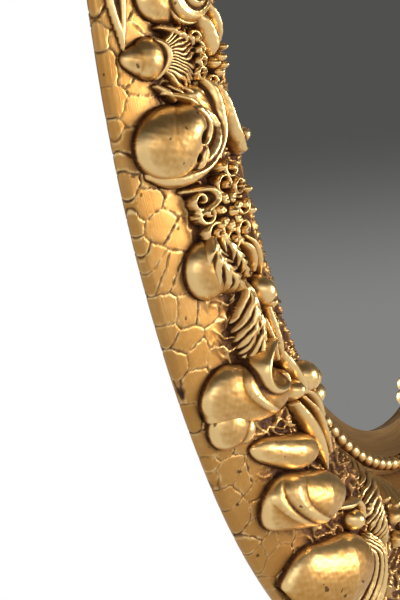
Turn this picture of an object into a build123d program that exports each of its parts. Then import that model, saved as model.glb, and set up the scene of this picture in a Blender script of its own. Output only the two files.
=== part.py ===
from build123d import *
import os
from math import asin, atan2, cos, degrees, radians, sin, sqrt, tan

# Oval wall mirror in a moulded, crackled gilt frame with applied scrolls, leaves, rosettes and pearls.
# The origin is the centre of the oval on the wall. +Z is up, and the front faces -Y.

# The sight oval, drawn from four centres as a joiner sets it out
sight_width = 312.0
sight_height = 400.0
end_radius = 131.0

# The moulding's section, measured outward from the sight edge and forward from the lip
frame_width = 99.5
crest_out = 46.0
crest_height = 21.0
edge_height = 0.0
edge_round = 3.0
back_bevel = 20.0
inner_round = 20.0
inner_slope = 40.0

# The slip with the smooth cove, which carries the beads and holds the glass
lip_thickness = 2.0
cove_width = 10.0
cove_rise = 4.0
slip_width = 18.5

# The glass, the board behind it and their fit in the rebate
glass_thickness = 4.0
board_thickness = 3.0
pane_margin = 6.5
rebate_gap = 0.5
board_gap = 0.1

# The bead strips, four lengths that meet at the ends of both axes
bead_line = 14.2
bead_pitch = 7.75
bead_half_width = 2.9
bead_height = 5.2
neck_half_width = 1.3
neck_height = 2.2

# Habits of the carving that its leaves and curls share
rib_foot = 4.0
barb_angle = 40.0
curl_in = 0.35

# The hardware on the back
wall_gap = 5.0
bumper_radius = 6.0
bumper_angles = (35.0, 145.0, 215.0, 325.0)
bumper_inset = 20.0
button_angles = (30.0, 90.0, 150.0, 210.0, 270.0, 330.0)
button_out = 15.0
button_reach = 18.0
button_heel = 5.0
button_width = 10.0
button_thickness = 1.4
button_chamfer = 2.5
button_lift = 0.1
button_hole_radius = 1.8
running_gap = 0.05
screw_head_radius = 3.4
screw_head_height = 1.6
screw_depth = 7.0
pilot_gap = 0.02
hanger_height = 90.0
hanger_inset = 30.0
strap_width = 11.0
strap_thickness = 1.0
strap_length = 14.0
knuckle_wall = 1.0
knuckle_lift = 0.1
ring_wire_radius = 1.0
ring_half_width = 8.0
ring_drop = 14.0
ring_corner = 4.0

half_width = sight_width / 2
half_height = sight_height / 2
end_centre = half_height - end_radius
side_radius = (end_centre**2 + half_width**2 - end_radius**2) / (2 * (half_width - end_radius))
side_centre = side_radius - half_width
joint_angle = degrees(atan2(end_centre, side_centre))

back_depth = lip_thickness + glass_thickness + board_thickness + board_gap
outer_run = frame_width - edge_round - crest_out
outer_fall = crest_height - edge_height
side_round = (outer_run**2 + outer_fall**2 - edge_round**2) / (2 * (outer_fall - edge_round))
slope_start = crest_out - inner_round * sin(radians(inner_slope))
slope_top = crest_height - inner_round * (1 - cos(radians(inner_slope)))
slope_foot = slope_top - (slope_start - slip_width) * tan(radians(inner_slope))
bevel_start = frame_width - edge_round + edge_round * sin(radians(back_bevel))
bevel_fall = edge_height - edge_round * cos(radians(back_bevel)) + back_depth
back_width = bevel_start - bevel_fall / tan(radians(back_bevel))
bumper_out = back_width - bumper_inset
hanger_out = back_width - hanger_inset


def depth(height):
    """Distance in front of the wall of a point that lies this far in front of the sight lip."""
    return wall_gap + back_depth + height


# The oval's arcs: centre x, centre z, sight radius, first angle, sweep
ARCS = (
    (-side_centre, 0, side_radius, -joint_angle, 2 * joint_angle),
    (0, end_centre, end_radius, joint_angle, 180 - 2 * joint_angle),
    (side_centre, 0, side_radius, 180 - joint_angle, 2 * joint_angle),
    (0, -end_centre, end_radius, 180 + joint_angle, 180 - 2 * joint_angle),
)


def arc_at(angle):
    """The arc of the oval whose normal points in this direction."""
    for arc in ARCS:
        if (angle - arc[3]) % 360 <= arc[4]:
            return arc
    return ARCS[0]


def station(angle, out, height):
    """Frame on the moulding: x along the oval, y outward from the glass, z forward from the wall."""
    c, s = cos(radians(angle)), sin(radians(angle))
    centre_x, centre_z, radius = arc_at(angle)[:3]
    point = (centre_x + (radius + out) * c, -depth(height), centre_z + (radius + out) * s)
    return Plane(origin=point, x_dir=(s, 0, -c), z_dir=(0, -1, 0)).location


def front(out):
    """Height of the moulding's front this far from the sight edge, and how far it leans outward."""
    if out >= crest_out:
        lean = asin((out - crest_out) / side_round)
        return crest_height - side_round * (1 - cos(lean)), degrees(lean)
    if out >= slope_start:
        lean = asin((crest_out - out) / inner_round)
        return crest_height - inner_round * (1 - cos(lean)), -degrees(lean)
    return slope_top - (slope_start - out) * tan(radians(inner_slope)), -inner_slope


def seat(from_side, out, sink=0.0, turn=0.0):
    """Frame on the front surface in the lower left quarter, z along the surface's own normal."""
    height, lean = front(out)
    return station(180 + from_side, out, height) * Rot(X=-lean) * Pos(Z=-sink) * Rot(Z=turn)


def ring(section):
    """The section, drawn as (out, height), carried round the four arcs and joined."""
    pieces = []
    for centre_x, centre_z, radius, first, sweep in ARCS:
        c, s = cos(radians(first)), sin(radians(first))
        plane = Plane(origin=(centre_x, 0, centre_z), x_dir=(c, 0, s), z_dir=(s, 0, -c))
        placed = plane * Pos(radius, depth(0)) * section
        pieces.append(revolve(placed, Axis((centre_x, 0, centre_z), (0, -1, 0)), sweep))
    return pieces[0] + pieces[1:]


def oval_plate(out, back, thickness):
    """Flat oval sheet, its edge this far outside the sight line and its back at this height."""
    edges = [
        CenterArc((centre_x, centre_z), radius + out, first, sweep)
        for centre_x, centre_z, radius, first, sweep in ARCS
    ]
    return Pos(Y=-depth(back)) * extrude(Plane.XZ * make_face(edges), thickness, dir=(0, -1, 0))


def four(shape):
    """A piece of the lower left quarter and its copies in the other three."""
    pair = [shape, mirror(shape, Plane.YZ)]
    return pair + [mirror(piece, Plane.XY) for piece in pair]


def save(node, solids):
    export_step(Compound(children=list(solids)), f"parts/{node}.step")


# Frame ring: the wooden moulding with a long convex outer side, a crest and an inner slope

def outer_side():
    """The section's outer line: a long arc, the rounded edge and the bevel down to the back."""
    arc_height = crest_height - side_round
    turn = atan2(outer_run, side_round - outer_fall)
    tangent = (crest_out + side_round * sin(turn), arc_height + side_round * cos(turn))
    middle = (crest_out + side_round * sin(turn / 2), arc_height + side_round * cos(turn / 2))
    end = radians(180 - back_bevel)
    half = (turn + end) / 2
    centre_out = frame_width - edge_round
    tip = (centre_out + edge_round * sin(half), edge_height + edge_round * cos(half))
    under = (centre_out + edge_round * sin(end), edge_height + edge_round * cos(end))
    return [
        ThreePointArc((crest_out, crest_height), middle, tangent),
        ThreePointArc(tangent, tip, under),
        Line(under, (back_width, -back_depth)),
    ]


def inner_side():
    """The front line from the slip up the slope to the crest."""
    half = radians(inner_slope / 2)
    middle = (crest_out - inner_round * sin(half), crest_height - inner_round * (1 - cos(half)))
    return [
        Line((slip_width, slope_foot), (slope_start, slope_top)),
        ThreePointArc((slope_start, slope_top), middle, (crest_out, crest_height)),
    ]


rebate_out = pane_margin + rebate_gap
ring_section = make_face(
    inner_side()
    + outer_side()
    + [
        Polyline(
            (back_width, -back_depth),
            (rebate_out, -back_depth),
            (rebate_out, -lip_thickness),
            (slip_width, -lip_thickness),
            (slip_width, slope_foot),
        )
    ]
)
frame_ring = ring(ring_section)

# Sight slip: the smooth cove round the glass, with the flat seat of the beads

cove_radius = (cove_width**2 + cove_rise**2) / (2 * cove_rise)
cove_half = asin(cove_width / cove_radius) / 2
slip_section = make_face(
    [
        ThreePointArc(
            (0, 0),
            (cove_radius * sin(cove_half), cove_radius * (1 - cos(cove_half))),
            (cove_width, cove_rise),
        ),
        Polyline(
            (cove_width, cove_rise),
            (slip_width, cove_rise),
            (slip_width, -lip_thickness),
            (0, -lip_thickness),
            (0, 0),
        ),
    ]
)
sight_slip = ring(slip_section)

# Bead strips: one strip for each quarter, a run of beads joined by necks


def skin(rings):
    """Flat-faced solid through rings of points that all run the same way round."""
    faces = [Face(Wire.make_polygon(ring)) for ring in (rings[0], rings[-1])]
    for low, high in zip(rings[:-1], rings[1:]):
        for number in range(len(low)):
            faces.append(Face(Wire.make_polygon([low[number - 1], low[number], high[number]])))
            faces.append(Face(Wire.make_polygon([low[number - 1], high[number], high[number - 1]])))
    return Solid(Shell(faces))


side_length = (side_radius + bead_line) * radians(joint_angle)
end_length = (end_radius + bead_line) * radians(90 - joint_angle)
beads_in_strip = round((side_length + end_length) / bead_pitch)


def bead_angle(length):
    """Angle of the oval's normal this far along the bead line from the end of the short axis."""
    if length <= side_length:
        return degrees(length / (side_radius + bead_line))
    return joint_angle + degrees((length - side_length) / (end_radius + bead_line))


bead_outline = ((-1.0, 0.0), (-0.75, 0.7), (0.0, 1.0), (0.75, 0.7), (1.0, 0.0))


def bead_section(step):
    half, height = (bead_half_width, bead_height) if step % 2 else (neck_half_width, neck_height)
    angle = 180 + bead_angle(step * (side_length + end_length) / (2 * beads_in_strip))
    place = station(angle, bead_line, cove_rise)
    return [(place * Pos(Y=half * across, Z=height * up)).position for across, up in bead_outline]


bead_strip = skin([bead_section(step) for step in range(2 * beads_in_strip + 1)])

# Shapes of the applied ornament, each lying on the plane z = 0 with its foot below it


def corners(radius, sides):
    """Corners of a regular polygon round the origin."""
    turns = [radians(360 * number / sides) for number in range(sides)]
    return [(radius * cos(turn), radius * sin(turn)) for turn in turns]


def turned(line, sides):
    """Turned form along z through (radius, height) stops, cut with flat sides."""
    return skin([[(x, y, height) for x, y in corners(radius, sides)] for radius, height in line])


def dome(radius, height, foot, sides):
    """Round boss: part of a ball on a short foot."""
    shares = ((1.0, 0.0), (0.86, 0.55), (0.42, 0.94))
    return turned([(radius, -foot)] + [(radius * out, height * up) for out, up in shares], sides)


def roll(radius, length, bands, nose, sides):
    """Scroll end lying with its axis outward: a banded barrel that closes in a dome at y = 0."""
    step = length / len(bands)
    line = [(radius * 0.3, 0), (radius * 0.74, nose * 0.25), (radius * 0.96, nose * 0.7)]
    for number, share in enumerate(bands):
        start = nose + number * step
        line += [(radius * share, start), (radius * (share - 0.1), start + step * 0.9)]
    return Rot(X=-90) * turned(line, sides)


def horn(points, radii, sides=5):
    """Tapering stem along a run of points, with a flat-sided section."""
    sections = []
    for number, (point, radius) in enumerate(zip(points, radii)):
        before = Vector(*points[max(number - 1, 0)])
        after = Vector(*points[min(number + 1, len(points) - 1)])
        along = (after - before).normalized()
        plane = Plane(origin=point, x_dir=along.cross(Vector(0, 0, 1)), z_dir=along)
        sections.append([plane.from_local_coords((x, y, 0)) for x, y in corners(radius, sides)])
    return skin(sections)


def curl(radius, first, last, thick, thin, height, steps):
    """Tapering horn bent round a circle that closes in, from the first angle to the last."""
    points, radii = [], []
    for number in range(steps + 1):
        share = number / steps
        angle = radians(first + (last - first) * share)
        reach = radius * (1 - curl_in * share)
        points.append((reach * cos(angle), reach * sin(angle), height * share))
        radii.append(thick + (thin - thick) * share)
    return horn(points, radii, 4)


def pearl(radius, length):
    """Bead with its long side along x."""
    ends = length / 2
    points = [(-ends, 0, 0), (-ends * 0.45, 0, 0), (ends * 0.45, 0, 0), (ends, 0, 0)]
    return horn(points, [radius * 0.45, radius, radius, radius * 0.45])


def small_pearl(radius, length):
    """Small bead that swells once, with its long side along x."""
    points = [(-length / 2, 0, 0), (0, 0, 0), (length / 2, 0, 0)]
    return horn(points, [radius * 0.5, radius, radius * 0.5], 4)


def rib(length, root, tip, height):
    """Ridge that runs along x from the origin and swells towards its tip."""
    sections = []
    for along, half, rise in ((0, root, height * 0.6), (length, tip, height)):
        sections.append([(along, -half, -rib_foot), (along, half, -rib_foot), (along, 0, rise)])
    return skin(sections)


def fan(length, ribs, spread, root, tip, height):
    """Palmette: ribs that open out from one root."""
    first = -spread / 2
    step = spread / (ribs - 1)
    pieces = [Rot(Z=first + step * number) * rib(length, root, tip, height) for number in range(ribs)]
    return pieces[0] + pieces[1:]


def leaf(length, width, rise, barbs):
    """Pinnate leaf along x: a raised spine with barbs that slant back on both sides."""
    pieces = [rib(length, width * 0.14, width * 0.08, rise)]
    for number in range(barbs):
        share = (number + 0.4) / barbs
        reach = width / 2 * (1 - 0.5 * share) / sin(radians(barb_angle))
        barb = rib(reach, width * 0.1, width * 0.1, rise * 0.7)
        for side in (-barb_angle, barb_angle):
            pieces.append(Pos(X=length * share * 0.85) * Rot(Z=side) * barb)
    return pieces[0] + pieces[1:]


# Everything laid on the frame is trimmed to the surface and to what was laid before it

bed_section = make_face(
    inner_side()
    + outer_side()
    + [
        Polyline(
            (back_width, -back_depth),
            (0, -back_depth),
            (0, cove_rise),
            (slip_width, cove_rise),
            (slip_width, slope_foot),
        )
    ]
)
bed = ring(bed_section)
laid = []


def lay(shape):
    """Trims a piece to its bed and its neighbours and keeps its largest solid."""
    box = shape.bounding_box()
    cutters = [bed]
    for other, other_box in laid:
        apart = any(
            low > high
            for low, high in (
                (box.min.X, other_box.max.X),
                (other_box.min.X, box.max.X),
                (box.min.Y, other_box.max.Y),
                (other_box.min.Y, box.max.Y),
                (box.min.Z, other_box.max.Z),
                (other_box.min.Z, box.max.Z),
            )
        )
        if not apart:
            cutters.append(other)
    trimmed = max((shape - cutters).solids(), key=lambda solid: solid.volume)
    laid.append((trimmed, trimmed.bounding_box()))
    return trimmed


# Ornament of one quarter, from the end of the short axis down to the end of the long axis


def trail(stops, radii):
    """Stem that runs over the surface through stops given as (from_side, out, lift)."""
    points = [tuple((seat(side, out) * Pos(Z=lift)).position) for side, out, lift in stops]
    return lay(horn(points, radii))


def lying(from_side, out, radius, length, bands, nose, rise, sides):
    """A scroll end laid across the moulding, its dome towards the glass."""
    scroll = Pos(Y=-(length + nose) / 2) * roll(radius, length, bands, nose, sides)
    return lay(seat(from_side, out, -rise) * scroll)


def raised_band(first, sweep, inner, outer, rise):
    """Smooth plaque on the outer side between two raised lines, along a stretch of the oval."""
    width = outer - inner
    steps = ((0, 0.2), (0.15, 1), (0.32, 0.4), (0.68, 0.4), (0.85, 1), (1, 0.2))
    top = [(inner + width * share, front(inner + width * share)[0] + rise * up) for share, up in steps]
    base = [(outer, front(outer)[0] - rise), (inner, front(inner)[0] - rise)]
    centre_x, centre_z, radius = arc_at(180 + first)[:3]
    c, s = cos(radians(180 + first)), sin(radians(180 + first))
    plane = Plane(origin=(centre_x, 0, centre_z), x_dir=(c, 0, s), z_dir=(s, 0, -c))
    section = plane * Pos(radius, depth(0)) * (make_face(Polyline(*top, *base, close=True)) - bed_section)
    band = revolve(section, Axis((centre_x, 0, centre_z), (0, -1, 0)), sweep).solid()
    laid.append((band, band.bounding_box()))
    return band


# Large forms first, so that the small ones are trimmed to them
domed_volute = lay(seat(17.2, 80) * dome(14.3, 13.0, 6, 12))
large_scroll = lying(60.8, 81, 14.5, 14, (1.0, 0.92), 15, 1.0, 12)
banded_scroll = lying(48.6, 77, 11.5, 18, (1.0, 0.92, 0.86), 12, 1.0, 10)
upper_scroll = lying(35.9, 76, 10.5, 18, (1.0, 0.9), 11, 1.0, 10)
middle_dome = lying(41.9, 73, 8.5, 9, (0.95,), 10, 0.5, 9)
small_dome = lay(seat(37.6, 89) * dome(7.6, 6.0, 5, 9))
leaf_boss = lay(seat(11.4, 85) * dome(7.4, 6.5, 5, 9))
shell_dome = lay(seat(27.0, 77) * dome(9.5, 7.0, 5, 9))
side_disc = ((11.5, -6), (11.5, 3.5), (9.0, 6.5), (7.5, 4.0), (5.0, 8.0), (2.6, 5.0))
side_scroll = lay(seat(7.4, 67) * turned(side_disc, 10))
side_plaque = raised_band(-9.5, 19.0, 85, 96, 2.2)
end_plaque = raised_band(79.0, 22.0, 78, 95, 2.4)

volute_tail = lay(seat(17.0, 76) * curl(21.0, -165, 0, 4.6, 1.8, 3.0, 6))
inner_lobe = lay(seat(37.4, 57, 0.5) * Rot(Z=12) * pearl(6.5, 17))
edge_pearl = lay(seat(31.6, 42) * pearl(4.8, 15))
cartouche_pearl = lay(seat(63.6, 56) * pearl(4.6, 9))
hook_scroll = lay(seat(18.0, 41, -2) * curl(7.5, 200, -20, 4.4, 2.0, 3.0, 5))
pearl_drops = [
    lay(seat(side, out, 0, -20) * small_pearl(radius, length))
    for side, out, radius, length in ((40.6, 37, 4.0, 11), (43.6, 36, 3.6, 10))
]
rosette_petals = fan(11.5, 7, 308, 1.0, 3.6, 5.5)
rosette = lay(seat(22.6, 65) * (rosette_petals + Pos(Z=4.5) * small_pearl(3.6, 6)))
shell_ribs = lay(seat(26.2, 63, 0, 200) * fan(15, 5, 80, 0.8, 2.4, 6.0))
boss_leaves = lay(seat(10.6, 77, 0, -95) * fan(19, 6, 96, 0.8, 2.4, 6.0))
acanthus = lay(seat(13.6, 62, 0, 130) * fan(17, 5, 76, 0.8, 2.3, 6.5))
feather_leaf = lay(seat(29.2, 67, 0, 184) * leaf(32, 15, 6.0, 3))
pinnate_leaf = lay(seat(66.0, 41, 0, 96) * Pos(X=-20) * leaf(40, 18, 5.0, 4))
side_shell = lay(seat(0, 44, -2, 90) * fan(24, 7, 110, 1.2, 3.6, 7.0))
end_shell = lay(seat(90, 40, 0, 90) * fan(34, 9, 140, 1.6, 5.2, 8.0))
long_stem = trail(
    ((40.6, 62, 6), (43.4, 60, 5), (46.0, 55, 4), (49.5, 52, 3), (53.0, 53, 2)),
    (2.2, 3.4, 3.2, 2.6, 1.2),
)
s_curls = [
    lay(seat(side, out, 0, turn) * curl(5.6, 30, 300, 2.2, 1.0, 2.5, 4))
    for side, out, turn in ((20.8, 74, 0), (24.0, 74, 140))
]
reeded_curls = [
    lay(seat(62.5, 78) * curl(reach, -80, -185, 2.1, 1.4, 1.5, 4)) for reach in (23.0, 28.0)
]
side_pearls = [
    lay(seat(side, out, -1.5) * small_pearl(radius, radius * 2.2))
    for side, out, radius in ((7.0, 43, 5.0), (10.4, 44, 4.2), (12.8, 42, 3.6))
]
dart_pearls = [
    lay(seat(side, out, 0, 90) * small_pearl(radius, length))
    for side, out, radius, length in ((74.0, 28, 2.6, 13), (79.5, 28, 2.6, 13), (71.4, 45, 3.0, 7))
]

# Glass and backing, held in the rebate behind the slip

mirror_glass = oval_plate(pane_margin, -lip_thickness - glass_thickness, glass_thickness)
backing_board = oval_plate(
    pane_margin, -lip_thickness - glass_thickness - board_thickness, board_thickness
)

# Turn buttons that hold the board in, each loose on a pan-head screw

shank_radius = button_hole_radius - running_gap


def screw(under_head):
    """Pan-head screw from its tip in the wood to its head behind the piece it holds."""
    length = screw_depth + under_head
    shank = Pos(Z=screw_depth - length / 2) * Cylinder(shank_radius, length)
    head = extrude(RegularPolygon(screw_head_radius, 8), screw_head_height)
    return shank + Pos(Z=-under_head - screw_head_height) * head


button_outline = chamfer(
    (Pos(Y=(button_heel - button_reach) / 2) * Rectangle(button_width, button_heel + button_reach)).vertices(),
    button_chamfer,
)
button = extrude(button_outline, button_thickness) - Cylinder(button_hole_radius, 4 * button_thickness)
button = Pos(Z=-button_lift - button_thickness) * button
button_seats = [station(angle, button_out, -back_depth) for angle in button_angles]
button_screws = [place * screw(button_thickness + 2 * button_lift) for place in button_seats]

# Hangers: a screwed strap rolled round the straight side of a D ring, on both sides

knuckle_radius = ring_wire_radius + running_gap + knuckle_wall
knuckle_rise = knuckle_lift + knuckle_radius
hanger_x = sqrt((side_radius + hanger_out) ** 2 - hanger_height**2) - side_centre
hanger_seat = Plane(origin=(hanger_x, -wall_gap, hanger_height), x_dir=(1, 0, 0), z_dir=(0, 1, 0)).location
strap_hole = ring_drop / 2
strap = Pos(strap_length / 2, 0, strap_thickness / 2) * Box(strap_length, strap_width, strap_thickness)
strap += Pos(Z=knuckle_rise) * Rot(X=90) * Cylinder(knuckle_radius, strap_width)
strap -= Pos(Z=knuckle_rise) * Rot(X=90) * Cylinder(ring_wire_radius + running_gap, 2 * strap_width)
strap -= Pos(X=strap_hole) * Cylinder(shank_radius + pilot_gap, 4 * strap_thickness)
ring_line = Polyline(
    (0, 0),
    (0, ring_half_width),
    (ring_corner - ring_drop, ring_half_width),
    (-ring_drop, ring_half_width - ring_corner),
    (-ring_drop, ring_corner - ring_half_width),
    (ring_corner - ring_drop, -ring_half_width),
    (0, -ring_half_width),
    close=True,
)
hanger_ring = sweep(Plane.XZ * Circle(ring_wire_radius), ring_line, transition=Transition.RIGHT)
hanger_ring = hanger_seat * Pos(Z=knuckle_rise) * hanger_ring
hanger_screw = hanger_seat * Pos(X=strap_hole) * Rot(X=180) * screw(strap_thickness)
strap = hanger_seat * strap

# Wall bumpers under the frame's back

bumpers = [
    station(angle, bumper_out, -back_depth) * Pos(Z=-wall_gap / 2) * Cylinder(bumper_radius, wall_gap)
    for angle in bumper_angles
]

os.makedirs("parts", exist_ok=True)
save("frame_ring", frame_ring.solids())
save("sight_slip", sight_slip.solids())
save("bead_strips", [strip.solid() for strip in four(bead_strip)])
quarters = {
    "side_scrolls": [side_scroll],
    "side_pearls": side_pearls,
    "leaf_bosses": [leaf_boss],
    "boss_leaves": [boss_leaves],
    "domed_volutes": [domed_volute],
    "volute_tails": [volute_tail],
    "acanthus_sprays": [acanthus],
    "hook_scrolls": [hook_scroll],
    "rosettes": [rosette],
    "s_curls": s_curls,
    "shell_domes": [shell_dome],
    "shell_ribs": [shell_ribs],
    "feather_leaves": [feather_leaf],
    "edge_pearls": [edge_pearl],
    "upper_scrolls": [upper_scroll],
    "inner_lobes": [inner_lobe],
    "long_stems": [long_stem],
    "pearl_drops": pearl_drops,
    "small_domes": [small_dome],
    "middle_domes": [middle_dome],
    "banded_scrolls": [banded_scroll],
    "large_scrolls": [large_scroll],
    "pinnate_leaves": [pinnate_leaf],
    "cartouche_pearls": [cartouche_pearl],
    "reeded_curls": reeded_curls,
    "dart_pearls": dart_pearls,
}
for node, shapes in quarters.items():
    save(node, [copy.solid() for shape in shapes for copy in four(shape)])
for node, shape in (("side_plaques", side_plaque), ("side_shells", side_shell)):
    save(node, [shape, mirror(shape, Plane.YZ).solid()])
for node, shape in (("end_plaques", end_plaque), ("end_shells", end_shell)):
    save(node, [shape, mirror(shape, Plane.XY).solid()])
save("mirror_glass", mirror_glass.solids())
save("backing_board", backing_board.solids())
for number, place in enumerate(button_seats, 1):
    save(f"turn_button_{number}", (place * button).solids())
save("button_screws", [one.solid() for one in button_screws])
save("hanger_straps", [strap.solid(), mirror(strap.solid(), Plane.YZ)])
save("hanger_screws", [hanger_screw.solid(), mirror(hanger_screw.solid(), Plane.YZ)])
save("hanger_ring_right", hanger_ring.solids())
save("hanger_ring_left", [mirror(hanger_ring.solid(), Plane.YZ)])
save("wall_bumpers", [bumper.solid() for bumper in bumpers])
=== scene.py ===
from math import atan2, cos, degrees, pi, radians, sin, sqrt, tan

import bpy
import numpy as np
from mathutils import Matrix, Vector


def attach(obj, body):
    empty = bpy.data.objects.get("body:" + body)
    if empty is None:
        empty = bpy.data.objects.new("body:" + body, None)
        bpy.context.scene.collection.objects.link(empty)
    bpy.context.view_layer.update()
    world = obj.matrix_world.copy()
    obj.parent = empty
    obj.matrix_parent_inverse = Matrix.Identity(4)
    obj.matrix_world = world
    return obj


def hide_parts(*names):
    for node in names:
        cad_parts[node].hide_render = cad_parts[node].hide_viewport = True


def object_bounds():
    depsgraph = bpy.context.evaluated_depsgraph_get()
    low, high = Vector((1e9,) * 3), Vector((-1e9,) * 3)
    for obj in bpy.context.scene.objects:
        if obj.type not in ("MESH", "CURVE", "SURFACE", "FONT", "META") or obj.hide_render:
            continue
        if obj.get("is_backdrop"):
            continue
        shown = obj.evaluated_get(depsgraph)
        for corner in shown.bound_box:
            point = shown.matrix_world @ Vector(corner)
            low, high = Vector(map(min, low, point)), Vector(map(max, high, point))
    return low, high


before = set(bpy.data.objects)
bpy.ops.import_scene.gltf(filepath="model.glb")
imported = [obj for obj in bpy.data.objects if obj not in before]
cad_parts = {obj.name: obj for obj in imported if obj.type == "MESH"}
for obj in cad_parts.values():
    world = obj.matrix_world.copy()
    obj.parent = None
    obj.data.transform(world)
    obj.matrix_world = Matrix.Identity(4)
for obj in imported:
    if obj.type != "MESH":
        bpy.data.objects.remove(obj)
cad_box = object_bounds()

# The photographer's view: close to the lower left of the oval, from its side, through a long lens,
# with the camera tipped a little. Distances are in metres and angles in radians.
view_yaw = 1.18229
view_pitch = -0.05
view_roll = -0.083354
view_distance = 1.33557
view_aim = Vector((-0.17569, -0.0141, -0.14795))
view_lens = 215.8

ahead = Vector((sin(view_yaw) * cos(view_pitch), cos(view_yaw) * cos(view_pitch), -sin(view_pitch)))
level = Vector((cos(view_yaw), -sin(view_yaw), 0))
upright = level.cross(ahead)
across_view = cos(view_roll) * level + sin(view_roll) * upright
up_view = cos(view_roll) * upright - sin(view_roll) * level
camera = bpy.data.objects.new("camera", bpy.data.cameras.new("camera"))
bpy.context.scene.collection.objects.link(camera)
camera.data.lens = view_lens
camera.data.sensor_width = 36
axes = Matrix((across_view, up_view, -ahead)).transposed().to_4x4()
camera.matrix_world = Matrix.Translation(view_aim - ahead * view_distance) @ axes
bpy.context.scene.camera = camera
bpy.context.scene.view_settings.view_transform = "Standard"


# The studio: a pale floor under the mirror, a white surround on the left and a dim room before the glass,
# lit by one wide soft lamp in front and one at the side.
# The surround is white wherever the camera looks past the mirror.
class Signal:
    """An output in a node tree. Sums written on it add Math nodes."""

    def __init__(self, tree, socket):
        self.tree, self.socket = tree, socket

    def math(self, operation, *values):
        return add_node(self.tree, "ShaderNodeMath", {"operation": operation}, dict(enumerate(values)))

    def __add__(self, other):
        return self.math("ADD", self, other)

    def __sub__(self, other):
        return self.math("SUBTRACT", self, other)

    def __rsub__(self, other):
        return self.math("SUBTRACT", other, self)

    def __mul__(self, other):
        return self.math("MULTIPLY", self, other)

    __radd__ = __add__
    __rmul__ = __mul__

    def most(self, other):
        return self.math("MAXIMUM", self, other)

    def step(self, low, high):
        """Rises smoothly from 0 at low to 1 at high."""
        ends = {"From Min": low, "From Max": high, "Value": self}
        return add_node(self.tree, "ShaderNodeMapRange", {"interpolation_type": "SMOOTHSTEP"}, ends)

    def between(self, first, second):
        """Colour that goes from the first to the second as this goes from 0 to 1."""
        settings = {"data_type": "RGBA"}
        return add_node(self.tree, "ShaderNodeMix", settings, {0: self, 6: first, 7: second}, 2)


def add_node(tree, kind, settings, values, output=0):
    """Adds a node, sets its settings, then the values or links of its sockets, and gives one output."""
    node = tree.nodes.new(kind)
    for name, setting in settings.items():
        setattr(node, name, setting)
    for name, value in values.items():
        if isinstance(value, Signal):
            tree.links.new(value.socket, node.inputs[name])
        elif isinstance(value, tuple) and len(value) == 3 and node.inputs[name].type == "RGBA":
            node.inputs[name].default_value = (*value, 1)
        else:
            node.inputs[name].default_value = value
    return Signal(tree, node.outputs[output])


room_dark = (0.086, 0.086, 0.084)
room_light = (0.245, 0.243, 0.236)
surround = (1.0, 0.99, 0.97)
world = bpy.data.worlds.new("studio")
bpy.context.scene.world = world
world.use_nodes = True
air = world.node_tree
air.nodes.clear()
direction = add_node(air, "ShaderNodeTexCoord", {}, {}, "Generated")
part_x, part_z = (add_node(air, "ShaderNodeSeparateXYZ", {}, {"Vector": direction}, axis) for axis in "XZ")
toward_room = part_x.step(0.02, 0.45)
room = part_z.step(0.04, 0.095).between(room_light, room_dark)
sky = part_z.step(-0.10, 0.55).between(surround, (0.05, 0.035, 0.025))
around = toward_room.between(sky, room)
seen = add_node(air, "ShaderNodeLightPath", {}, {}, "Is Camera Ray")
colour = seen.between(around, (1.0, 1.0, 1.0))
lit = add_node(air, "ShaderNodeBackground", {}, {"Color": colour, "Strength": 1.0}, "Background")
air.links.new(lit.socket, air.nodes.new("ShaderNodeOutputWorld").inputs["Surface"])


def soft_lamp(name, place, width, height, power, tint):
    """Large soft box that faces the middle of the mirror."""
    light = bpy.data.lights.new(name, "AREA")
    light.shape = "RECTANGLE"
    light.size, light.size_y = width, height
    light.energy = power
    light.color = tint
    lamp = bpy.data.objects.new(name, light)
    lamp.location = place
    lamp.rotation_mode = "QUATERNION"
    lamp.rotation_quaternion = Vector(place).to_track_quat("Z", "Y")
    bpy.context.scene.collection.objects.link(lamp)


soft_lamp("front_softbox", (0.30, -1.6, -0.15), 0.7, 0.8, 26, (1.0, 0.96, 0.90))
soft_lamp("side_fill", (-1.9, -0.9, -0.5), 1.2, 1.2, 8, (1.0, 0.98, 0.95))

floor_drop = 0.06
floor_radius = 1.9
ring_steps = 96
floor_mesh = bpy.data.meshes.new("floor")
turns = [2 * pi * step / ring_steps for step in range(ring_steps)]
floor_points = [(0, 0, 0)] + [(floor_radius * cos(turn), floor_radius * sin(turn), 0) for turn in turns]
floor_faces = [(0, step + 1, (step + 1) % ring_steps + 1) for step in range(ring_steps)]
floor_mesh.from_pydata(floor_points, [], floor_faces)
floor = bpy.data.objects.new("floor", floor_mesh)
floor.location.z = cad_box[0].z - floor_drop
bpy.context.scene.collection.objects.link(floor)
floor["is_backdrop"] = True


def finish(name):
    """New material with an empty tree and the socket of its surface."""
    material = bpy.data.materials.new(name)
    material.use_nodes = True
    material.node_tree.nodes.clear()
    surface = material.node_tree.nodes.new("ShaderNodeOutputMaterial").inputs["Surface"]
    return material, material.node_tree, surface


def lay(tree, surface, values, shader="ShaderNodeBsdfPrincipled"):
    """Adds a shader with these values and joins it to the surface."""
    tree.links.new(add_node(tree, shader, {}, values).socket, surface)


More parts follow.
